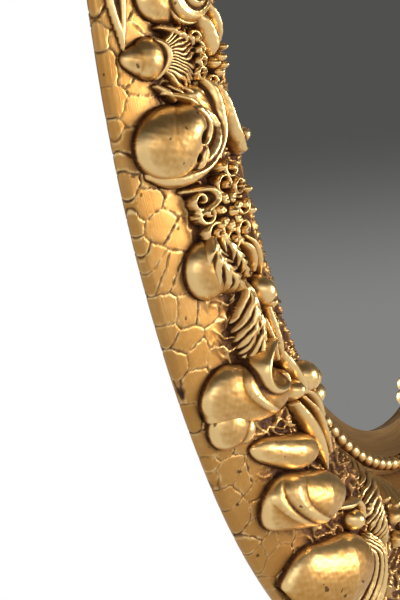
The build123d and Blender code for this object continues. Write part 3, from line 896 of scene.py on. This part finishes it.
# Little scrolls: small cast curls, pearls and stems, packed on the ground round each rosette
# and on along the crest below the shell dome.
def little_scrolls(A, O):
    return highest(
        spiral(A, O, (115.5, 77), 4.4, 250, 1.3, 1.5, 6.5),
        spiral(A, O, (121.5, 75.5), 3.8, 120, -1.2, 1.4, 7.5),
        roll(A, O, [(110.5, 82, 1.2, 3), (113, 72.5, 1.8, 7.5), (118, 71.5, 1.8, 8), (121, 80, 1.3, 5)]),
        spiral(A, O, (129, 73.5), 4.2, 60, 1.3, 1.5, 7.5),
        spiral(A, O, (135.5, 67.5), 3.8, 200, -1.3, 1.4, 8.5),
        spiral(A, O, (134, 60), 4.2, 20, 1.3, 1.5, 8.5),
        spiral(A, O, (113.5, 65), 4.2, 20, 1.3, 1.5, 8.5),
        spiral(A, O, (110, 59), 3.8, 160, -1.2, 1.4, 8.5),
        spiral(A, O, (117, 57.5), 4.0, 300, 1.2, 1.4, 9),
        spiral(A, O, (126, 56.5), 3.6, 100, -1.2, 1.4, 9),
        boss(A, O, (107, 66), (2.6, 2.4), 8.5),
        boss(A, O, (121, 52.5), (2.6, 2.2), 8.5),
        boss(A, O, (130, 52), (2.8, 2.4), 8.0),
        roll(A, O, [(138, 63, 1.2, 6), (142, 60, 1.8, 8), (148, 58, 1.6, 7), (153, 58, 1.0, 5)]),
        roll(A, O, [(138, 58, 1.0, 5), (143, 55, 1.5, 7), (150, 53.5, 1.4, 6.5), (157, 53, 0.9, 4)]),
    )


cast("little_scrolls", "s_curls", (103, 160, 46, 86), little_scrolls)


# The shell domes: smooth oval mounds, cast and glued near the outer edge of the ornament.
# A ribbed leaf curls over the half of each that faces the glass.
def shell_dome(A, O):
    return boss(A, O, (141.5, 79.5), (11.4, 9.4), 8.0)


cast("shell_mounds", "shell_domes", (129, 155, 69, 90), shell_dome, ripple=0.05)


# The shell leaves: two lobed, ribbed castings, one over each shell dome and a smaller one inside it,
# which curl towards the glass.
def leaf(A, O, stops, barbs, slant, depth):
    """Leaf along a spine of (along, out, half width, height), with slanting barbs and a lobed edge."""
    line = smooth_line(stops, 9)
    lengths = np.concatenate([[0], np.cumsum(np.hypot(*np.diff(line[:, :2], axis=0).T))])
    best = np.full(A.shape, 1e9)
    where, aside, half, top = (np.zeros(A.shape) for _ in range(4))
    for number, (start, end) in enumerate(zip(line[:-1], line[1:])):
        run, share, distance = nearest(A, O, start, end)
        nearer = distance < best
        turn = np.sign(run[0] * (O - start[1]) - run[1] * (A - start[0]))
        best = np.where(nearer, distance, best)
        aside = np.where(nearer, distance * turn, aside)
        where = np.where(nearer, lengths[number] + share * np.hypot(*run), where)
        half = np.where(nearer, start[2] + share * (end[2] - start[2]), half)
        top = np.where(nearer, start[3] + share * (end[3] - start[3]), top)
    wander = 0.9 * mottle(A, O, 4.5)
    phase = (where + wander - slant * np.abs(aside)) * barbs / lengths[-1]
    lobe = 0.5 + 0.5 * np.cos(2 * pi * phase)
    edge = half * (0.78 + 0.22 * lobe)
    inside = np.clip(1 - (np.abs(aside) / edge) ** 2.2, 0, 1) ** 0.5
    far = np.clip(np.abs(aside) / (half + 1e-6), 0, 1)
    crease = 0.8 * np.exp(-((aside / 0.45) ** 2)) if slant > 1.5 else 0
    raised = top * inside * (0.72 + 0.28 * (1 - far)) - depth * (1 - lobe) ** 1.6 * np.clip(far * 4, 0, 1)
    return np.where(np.abs(aside) < edge, raised - crease, -1.0)


def shell_ribs(A, O):
    crown = leaf(A, O, [(130, 77, 2, 8), (135.5, 78.5, 5.5, 10.5), (142, 77, 7.5, 11.5), (148.5, 73, 6, 10.5),
                        (154, 69, 2.5, 8)], 5, 2.0, 1.8)
    inner = leaf(A, O, [(131, 72, 2, 8), (137, 70.5, 4.5, 9.5), (144, 67.5, 5, 9.5),
                        (152, 64, 2, 7)], 5, 1.8, 1.6)
    return highest(crown, inner)


cast("shell_rib_leaves", "shell_ribs", (128, 157, 60, 87), shell_ribs)


# Feather leaves: long castings that run along the frame from the shells to the upper scrolls.
# Their barbs are combed back from the spine, and two thin stems lie beside them on the crest.
def feather(A, O):
    first = leaf(A, O, [(153, 66, 2, 6), (159, 67, 5.5, 9), (167, 69, 7, 9.5), (174, 72, 5.5, 8),
                        (180, 75, 2, 4)],
                 5, 2.2, 1.9)
    second = leaf(A, O, [(163, 64, 2, 7), (171, 67, 5, 9.5), (179, 70, 5.5, 9.5), (187, 69.5, 4.5, 8.5),
                         (194, 67, 1.5, 5)], 6, 2.2, 1.8)
    under = roll(A, O, [(170, 57, 1.2, 6), (178, 57.5, 2.2, 7), (187, 58, 2.0, 7), (195, 58.5, 1.0, 5)])
    thin = roll(A, O, [(172, 61.5, 1.0, 6), (181, 62, 1.6, 7.5), (190, 62.5, 1.4, 7)])
    return highest(first, second, under, thin)


cast("feather_leaf_barbs", "feather_leaves", (150, 198, 52, 84), feather)


# Crest pearls: smooth cast drops at the inner edge of the crest, between the leaves and the upper scrolls.
# A large one and a small one are glued side by side.
def edge_pearl(A, O):
    return highest(boss(A, O, (163, 56.5), (7.2, 5.2), 9.5), boss(A, O, (171, 52), (2.6, 3.0), 6.5))


cast("crest_pearls", "edge_pearls", (154, 176, 47, 63), edge_pearl, ripple=0.04)


# The upper scrolls: rolled ends that lie across the moulding, cast with a raised hood round a hollow nose.
# A tapering tail runs on from each along the crest.
def barrel(A, O, start, end, half, top, bands, narrow=0.0):
    """Rolled scroll end from start to end, rounded at both, with hoods at shares of its length.

    Each hood is (share of the length, width as a share, rise), and its sides reach on towards the nose."""
    skew, sweep = -0.30, -0.31
    run = np.array(end, float) - start
    size = np.hypot(*run)
    unit = run / size
    lengthwise = ((A - start[0]) * unit[0] + (O - start[1]) * unit[1]) / size
    aside = ((O - start[1]) * unit[0] - (A - start[0]) * unit[1]) / half
    share = np.clip(lengthwise, 0, 1)
    plan = np.clip(1 - np.clip(1 - share / 0.26, 0, 1) ** 2.6, 0, 1) ** 0.5
    plan = plan * np.clip(1 - np.clip((share - 0.55) / 0.45, 0, 1) ** 2.2, 0, 1) ** 0.5
    plan = plan * (1 - narrow * (1 - share))
    rise = (0.52 + 0.48 * np.clip(share / 0.6, 0, 1) ** 0.8) * plan**0.6
    bend = lengthwise + skew * aside + sweep * aside**2
    hood = np.zeros(A.shape)
    for place, width, height in bands:
        hood += height * np.clip(1 - np.abs(bend - place) / width, 0, 1) ** 0.5
    across_share = np.abs(aside) / (plan + 1e-6)
    inside = np.clip(1 - across_share**2.1, 0, 1) ** 0.5
    closed = (lengthwise > 0) & (lengthwise < 1) & (across_share < 1)
    return np.where(closed, (top * rise + hood) * inside, -1.0)


def upper_scroll(A, O):
    body = barrel(A, O, (183, 95), (205, 61), 11.0, 11.0, [(0.42, 0.07, 1.0)])
    hood = roll(A, O, [(182, 61, 1.6, 8), (180.5, 67, 2.6, 11), (183, 73, 3.2, 12.8),
                       (188.5, 75.5, 3.4, 13.2),
                       (194.5, 73.5, 3.2, 12.6), (198.5, 68.5, 2.6, 11.5), (199, 64.5, 2.0, 10),
                       (195.5, 63.5, 1.4, 9.5)])
    tail = roll(A, O, [(190, 57.5, 1.6, 6), (196, 57, 3.0, 8.5), (203, 55, 3.2, 8.5), (210, 53, 2.6, 8),
                       (216, 52, 1.6, 6)])
    return highest(body, hood, tail) - pit(A, O, (190, 66.5), 4.0, 6)


cast("upper_scroll_ends", "upper_scrolls", (177, 218, 48, 97), upper_scroll, ripple=0.05)


# Inner lobes: two swollen cast balls below each upper scroll.
# The smaller sits on the crest, and the larger hangs over the inner slope beside the glass.
def inner_lobe(A, O):
    return highest(boss(A, O, (207, 60), (5.0, 4.5), 11), boss(A, O, (213, 46), (7.5, 6.0), 9.5))


cast("inner_lobe_balls", "inner_lobes", (198, 224, 38, 68), inner_lobe, ripple=0.05)


# Pearl drops: two smooth cast drops on the inner slope, just above the beads.
# A thin stem over them ties them to the crest.
def drops(A, O):
    return highest(
        boss(A, O, (221, 39), (6.5, 5.0), 8.0),
        boss(A, O, (233, 37), (6.0, 4.6), 7.0),
        roll(A, O, [(214, 52, 1.4, 5), (222, 47, 2.0, 6.5), (232, 44.5, 1.8, 6), (242, 44, 1.2, 4)]),
    )


cast("pearl_drop_balls", "pearl_drops", (210, 246, 30, 57), drops, ripple=0.05)


# Long ribbons: cast stems that leave the drops and run along the crest inside the scrolls.
# Each is a broad ribbon that tapers out, with a thin one beside it.
def stem(A, O):
    broad = roll(A, O, [(214, 60, 2.0, 7), (224, 58, 3.2, 8.5), (236, 56, 3.4, 8), (248, 55, 2.6, 6),
                        (258, 55, 1.5, 3)])
    thin = roll(A, O, [(216, 54, 1.0, 6), (228, 51, 1.4, 8), (242, 50, 1.4, 7), (256, 49, 1.0, 4)])
    return highest(broad, thin)


cast("long_stem_ribbons", "long_stems", (210, 264, 45, 66), stem, ripple=0.08)


# Small domes: smooth cast mounds at the outer edge, one below each upper scroll.
# Each has a rounded nose towards the glass.
def small_dome(A, O):
    return highest(boss(A, O, (199.5, 89.5), (9.2, 8.0), 7.4), boss(A, O, (204.5, 85), (6.0, 4.5), 6.5, 35))


cast("small_dome_caps", "small_domes", (189, 214, 78, 98), small_dome, ripple=0.05)


# Middle domes: longer smooth castings that lie across the moulding between the small domes
# and the banded scrolls, and narrow towards the outer edge.
def middle_dome(A, O):
    return barrel(A, O, (214, 85), (240, 59.5), 9.4, 11.0, [], 0.6)


cast("middle_dome_caps", "middle_domes", (204, 246, 54, 96), middle_dome, ripple=0.05)


# The banded scrolls: rolled ends cast with two raised collars behind a smooth domed nose.
# They lie across the moulding, with the nose on the crest.
def banded_scroll(A, O):
    return barrel(A, O, (236, 88.5), (270.5, 57.5), 11.0, 11.8, [(0.10, 0.06, 0.8), (0.28, 0.10, 1.6)])


cast("banded_scroll_ends", "banded_scrolls", (222, 278, 53, 98), banded_scroll, ripple=0.05)


# The large scrolls: the broadest smooth castings, below the banded ones.
# A small pearl is set where each nose curls in.
def large_scroll(A, O):
    body = barrel(A, O, (275, 100), (311, 66), 16.0, 13.5, [])
    return highest(body, boss(A, O, (310.5, 76), (2.8, 2.6), 9.0))


cast("large_scroll_ends", "large_scrolls", (256, 322, 62, 98), large_scroll, ripple=0.05)


# Pinnate leaves: long castings that climb from the beads up the inner slope.
# A spine carries fifteen close ribs on each side.
def pinnate(A, O):
    return leaf(A, O, [(303, 20, 2, 1.5), (305, 27, 8, 3.5), (308, 36, 12, 5.5), (313, 45, 11, 6.5),
                       (322, 51, 6, 6.5), (331, 54, 1.5, 4)], 15, 0.55, 1.3)


cast("pinnate_leaf_ribs", "pinnate_leaves", (288, 336, 17, 62), pinnate)


# Cartouche pearls: a smooth cast pearl on the crest between each large scroll and its leaf,
# held in the bend of a thin scroll.
def cartouche_pearl(A, O):
    ball_form = boss(A, O, (291, 59.5), (5.6, 4.6), 8.5)
    scroll = roll(A, O, [(276, 62, 1.4, 5), (283, 57, 2.2, 7), (287, 53.5, 2.0, 6.5), (294, 52.5, 1.8, 6),
                         (300, 54.5, 1.4, 5)])
    return highest(ball_form, scroll)


cast("cartouche_pearl_balls", "cartouche_pearls", (273, 304, 48, 67), cartouche_pearl, ripple=0.04)


# Reeded curls: six parallel strands cast together, which sweep round the nose of each large scroll
# and out to the edge of the ornament.
strand_pitch = 3.2
strand_tops = (7.5, 9.0, 10.0, 10.0, 9.0, 8.0)


def reeds(A, O):
    strands = []
    for number, top in enumerate(strand_tops):
        offset = strand_pitch * number
        strands.append(roll(A, O, [
            (302 + 0.4 * offset, 66 - 0.5 * offset, 1.2, top * 0.6),
            (309 + 0.6 * offset, 66.5 - 0.4 * offset, 1.9, top),
            (314 + offset, 73 - 0.1 * offset, 2.0, top),
            (314.5 + offset, 82, 2.0, top * 0.9),
            (311 + offset, 91, 1.6, top * 0.6),
        ]))
    return highest(*strands)


cast("reeded_curl_strands", "reeded_curls", (298, 340, 45, 95), reeds)


# Darts and small pearls: castings that carry the ornament on to the shells at the top and bottom of the oval.
# Three darts climb the inner slope, with pearls above them.
def darts(A, O):
    return highest(
        roll(A, O, [(338, 22, 1.0, 2), (337, 30, 2.6, 5), (336, 37, 1.6, 5)]),
        boss(A, O, (338, 43), (3.0, 3.4), 7.5),
        boss(A, O, (342, 51), (3.4, 3.6), 8.5),
        roll(A, O, [(352, 20, 1.0, 2), (351, 29, 2.6, 5), (350, 37, 1.6, 5)]),
        roll(A, O, [(366, 20, 1.0, 2), (365, 28, 2.6, 5), (364, 35, 1.6, 5)]),
        boss(A, O, (352, 43), (3.0, 3.2), 7.5),
    )


cast("dart_and_pearl_row", "dart_pearls", (330, 372, 16, 60), darts)


# Pearls and drops beside the side shells, cast together and glued on the crest where the glass begins.
# Two swollen stems lie between the side scroll and the pearls, with a little scroll at each end.
def side_pearls(A, O):
    return highest(
        roll(A, O, [(49, 63, 1.6, 7), (52.5, 61, 2.8, 9.5), (57, 59, 3.6, 10), (61.5, 57.5, 3.6, 9.5),
                    (65, 57.5, 2.0, 7)]),
        roll(A, O, [(45, 57, 1.6, 7), (50, 54.5, 2.4, 9), (56, 52.5, 2.4, 9), (61, 51.5, 1.4, 7)]),
        boss(A, O, (69, 57), (2.8, 2.5), 8.5),
        boss(A, O, (73, 54.5), (2.6, 2.4), 8.0),
        boss(A, O, (67.5, 52), (2.6, 2.4), 8.5),
        boss(A, O, (64, 47.5), (2.2, 2.2), 7.5),
        boss(A, O, (71, 49.5), (2.4, 2.2), 7.5),
        spiral(A, O, (76, 59), 3.2, 60, 1.2, 1.2, 8),
        spiral(A, O, (42, 54), 4.0, 200, 1.2, 1.5, 9),
    )


cast("side_pearl_drops", "side_pearls", (34, 82, 42, 68), side_pearls)


# The shells on the oval's axes: ribbed castings on the crest at both ends of each axis.
# Their ribs open from a root near the outer edge towards the glass.
def side_shell(A, O):
    return fan(A, O, (0, 84), 48, -90, 74, 9, 8.5, 2.6)


def end_shell(A, O):
    return fan(A, O, (quarter_length, 82), 52, -90, 88, 11, 9.0, 2.8)


cast("side_shell_ribs", "side_shells", (-36, 36, 32, 88), side_shell, 0.5, "side")
cast("end_shell_ribs", "end_shells", (quarter_length - 48, quarter_length + 48, 24, 87), end_shell, 0.5, "end")


# The plaques: smooth raised panels outside the shells, between two rims that meet at both ends.
# They are cast thin and glued near the outer edge of the moulding.
def panel(middle, half, inner, outer):
    """Height of a panel about a place along the oval, between two lines out from the sight edge."""
    def shape(A, O):
        share = np.abs(A - middle) / half
        centre = (inner + outer) / 2
        reach = (outer - inner) / 2 * np.clip(1 - share**3, 0, 1) + 0.4
        from_centre = np.abs(O - centre)
        rims = 2.0 * np.exp(-(((from_centre - reach + 1.4) / 1.3) ** 2))
        return np.where((share < 1) & (from_centre / reach < 1.05), rims + 0.25, -1.0)

    return shape


cast("side_plaque_rims", "side_plaques", (-60, 60, 84, 98), panel(0, 58, 88.5, 98), 0.45, "side", 0.04)
cast("end_plaque_rims", "end_plaques", (quarter_length - 56, quarter_length + 56, 80, 98),
     panel(quarter_length, 54, 82, 96.5), 0.45, "end", 0.04)

# The glass: a flat silvered pane behind the lip of the slip.
# It is clean, with only the faintest unevenness in its silvering.
silver, tree, surface = finish("silvered_glass")
place = add_node(tree, "ShaderNodeTexCoord", {}, {}, "Object")
haze = noise(tree, place, 5.0, 2.0)
lay(tree, surface, {
    "Base Color": haze.between((0.90, 0.905, 0.90), (0.93, 0.935, 0.93)),
    "Metallic": 1.0,
    "Roughness": haze * 0.012,
})
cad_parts["mirror_glass"].data.materials.clear()
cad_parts["mirror_glass"].data.materials.append(silver)

# The back: a panel of pressed fibre board held by turn buttons, strap hangers with D rings, and rubber
# bumpers.
# The metal is thin zinc-plated steel with a fine brushed grain, screwed to the wood, and the bumpers are
# glued.
board, tree, surface = finish("pressed_fibre_board")
place = add_node(tree, "ShaderNodeTexCoord", {}, {}, "Object")
fibre = noise(tree, place, 380.0, 6.0)
patch = noise(tree, place, 12.0, 2.0)
lay(tree, surface, {
    "Base Color": (fibre * 0.7 + patch * 0.3).step(0.3, 0.7).between((0.13, 0.075, 0.038), (0.25, 0.155, 0.085)),
    "Roughness": 0.72 + fibre * 0.15,
    "Normal": bumps(tree, fibre, 0.3, 0.0003),
})

steel, tree, surface = finish("plated_steel")
place = add_node(tree, "ShaderNodeTexCoord", {}, {}, "Object")
stretch = add_node(tree, "ShaderNodeMapping", {}, {"Vector": place, "Scale": (900.0, 900.0, 60.0)}, "Vector")
grain = noise(tree, stretch, 1.0, 3.0)
spangle = noise(tree, place, 160.0, 1.0)
lay(tree, surface, {
    "Base Color": spangle.step(0.3, 0.7).between((0.50, 0.50, 0.47), (0.66, 0.65, 0.60)),
    "Metallic": 1.0,
    "Roughness": 0.28 + grain * 0.22,
})

rubber, tree, surface = finish("black_rubber")
place = add_node(tree, "ShaderNodeTexCoord", {}, {}, "Object")
bloom = noise(tree, place, 200.0, 3.0)
lay(tree, surface, {
    "Base Color": bloom.between((0.016, 0.016, 0.016), (0.035, 0.035, 0.034)),
    "Roughness": 0.6 + bloom * 0.3,
})

for node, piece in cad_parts.items():
    kept = {"backing_board": board, "wall_bumpers": rubber}.get(node)
    if node.startswith(("turn_button", "button_screws", "hanger")):
        kept = steel
    if kept:
        piece.data.materials.clear()
        piece.data.materials.append(kept)

size = {"cad": [list(corner) for corner in cad_box], "visual": [list(corner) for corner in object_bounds()]}
